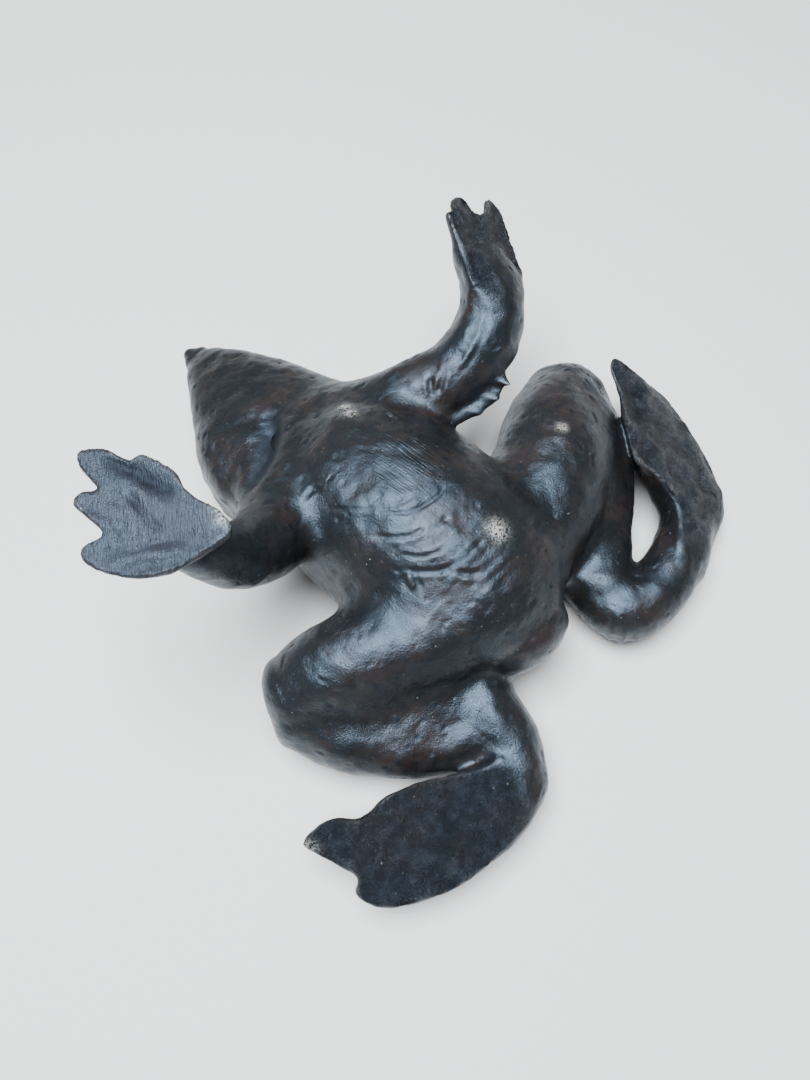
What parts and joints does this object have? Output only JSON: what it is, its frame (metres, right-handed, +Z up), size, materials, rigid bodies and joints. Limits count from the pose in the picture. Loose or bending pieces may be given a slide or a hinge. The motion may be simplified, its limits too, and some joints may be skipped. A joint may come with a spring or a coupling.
{
  "type": "frog figurine",
  "caption": "Small dark cast-metal frog ornament lying on its back, belly up, with its front legs raised, its hind legs folded and flat filed soles.",
  "frame": {"origin": "middle of the overall box on the ground that the frog lies on", "axes": "+Z up, out of the belly; the head points to -Y; the frog's left side is at -X"},
  "size_m": [0.0972, 0.0954, 0.0483],
  "materials": {
    "patina": "brown-black patina, softly glossy",
    "worn_patina": "brown-black patina, burnished by handling",
    "filed_sole": "patinated over fine file marks"
  },
  "bodies": {
    "root": {"torso": "worn_patina", "skull": "patina", "lower_jaw": "patina", "left_eye": "patina", "right_eye": "patina", "left_upper_arm": "patina", "right_upper_arm": "patina", "left_forearm": "patina", "right_forearm": "patina", "left_hand": "filed_sole", "right_hand": "filed_sole", "left_thigh": "worn_patina", "right_thigh": "worn_patina", "left_shank": "patina", "right_shank": "patina", "left_tarsus": "patina", "right_tarsus": "patina", "left_foot": "filed_sole", "right_foot": "filed_sole"}
  },
  "joints": []
}
